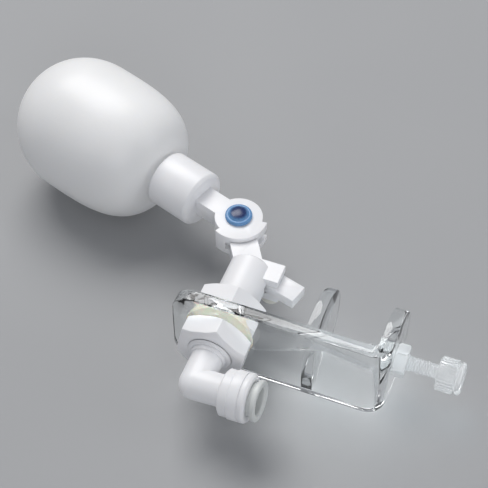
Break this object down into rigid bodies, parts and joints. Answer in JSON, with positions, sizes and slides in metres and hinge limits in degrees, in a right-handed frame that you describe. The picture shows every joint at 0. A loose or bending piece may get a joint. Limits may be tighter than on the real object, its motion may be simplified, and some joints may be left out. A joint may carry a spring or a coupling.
{
  "type": "float valve",
  "caption": "Float-operated water valve on a clear clamp bracket, with a push-in elbow inlet, a hinged float arm and a side cock.",
  "frame": {"origin": "on the bracket's inner face, in the middle of the clamp gap and of the bracket's width", "axes": "+X along the bracket from the valve to the clamp screw, +Y out of the inner face along the valve axis towards the float side, +Z across the bracket"},
  "size_m": [0.204, 0.1349, 0.0556],
  "materials": {
    "clear_acrylic": "polished clear sheet with flame-polished edges",
    "clear_nylon": "clear moulded plastic, slightly cloudy",
    "white_plastic": "white acetal, satin gloss",
    "float_plastic": "white blow-moulded shell, smooth satin",
    "grey_plastic": "pale grey acetal",
    "ivory_plastic": "natural acetal",
    "blue_plastic": "translucent blue plastic",
    "cream_silicone": "translucent cream silicone",
    "black_rubber": "black nitrile rubber",
    "steel": "stainless steel, brushed"
  },
  "bodies": {
    "valve": {"bracket_plate": "clear_acrylic", "stop_tab": "clear_acrylic", "clamp_nut": "clear_nylon", "lock_nut": "white_plastic", "sealing_washer": "cream_silicone", "valve_body": "white_plastic", "seat_nozzle": "ivory_plastic", "nozzle_seal": "black_rubber", "pivot_pin": "blue_plastic", "pin_clip": "steel"},
    "float": {"float_arm": "white_plastic", "float_cap": "white_plastic", "cap_gasket": "black_rubber", "float_shell": "float_plastic"},
    "plunger": {"plunger": "ivory_plastic", "plunger_seal": "black_rubber"},
    "screw_tip": {"screw_tip": "clear_nylon"},
    "clamp_screw": {"clamp_screw": "clear_nylon"},
    "elbow": {"elbow_body": "white_plastic", "stem_oring": "black_rubber", "socket_ring": "white_plastic", "tube_oring": "black_rubber"},
    "collet": {"collet": "grey_plastic", "grab_ring": "steel"},
    "cock": {"cock_spindle": "ivory_plastic", "cock_lever": "white_plastic", "spindle_oring": "black_rubber"}
  },
  "joints": [
    {"name": "arm_pivot", "type": "hinge", "parent": "valve", "child": "float", "pos_m": [-0.0587, 0.0467, 0.0015], "axis": [0, 0, 1], "range_deg": [-60, 22]},
    {"name": "plunger_slide", "type": "slide", "parent": "valve", "child": "plunger", "axis": [0.5234, -0.8521, 0], "range_m": [-0.00105, 0.0004]},
    {"name": "screw_travel", "type": "slide", "parent": "valve", "child": "screw_tip", "axis": [-1, 0, 0], "range_m": [-0.004, 0.011]},
    {"name": "screw_turn", "type": "hinge", "parent": "screw_tip", "child": "clamp_screw", "pos_m": [0.02, 0.0094, 0], "axis": [-1, 0, 0], "range_deg": [-1450, 3970]},
    {"name": "elbow_swivel", "type": "hinge", "parent": "valve", "child": "elbow", "pos_m": [-0.0466, -0.026, 0], "axis": [0, 1, 0], "continuous": true},
    {"name": "collet_press", "type": "slide", "parent": "elbow", "child": "collet", "axis": [-0.9962, 0, -0.0872], "range_m": [0, 0.0012]},
    {"name": "cock_turn", "type": "hinge", "parent": "valve", "child": "cock", "pos_m": [-0.0378, 0.0266, 0], "axis": [0, 0, 1], "range_deg": [0, 90]}
  ],
  "couplings": [
    {"joint": "plunger_slide", "follows": "arm_pivot", "m_per_rad": 0.0009339},
    {"joint": "screw_turn", "follows": "screw_travel", "rad_per_m": 6283.2}
  ]
}
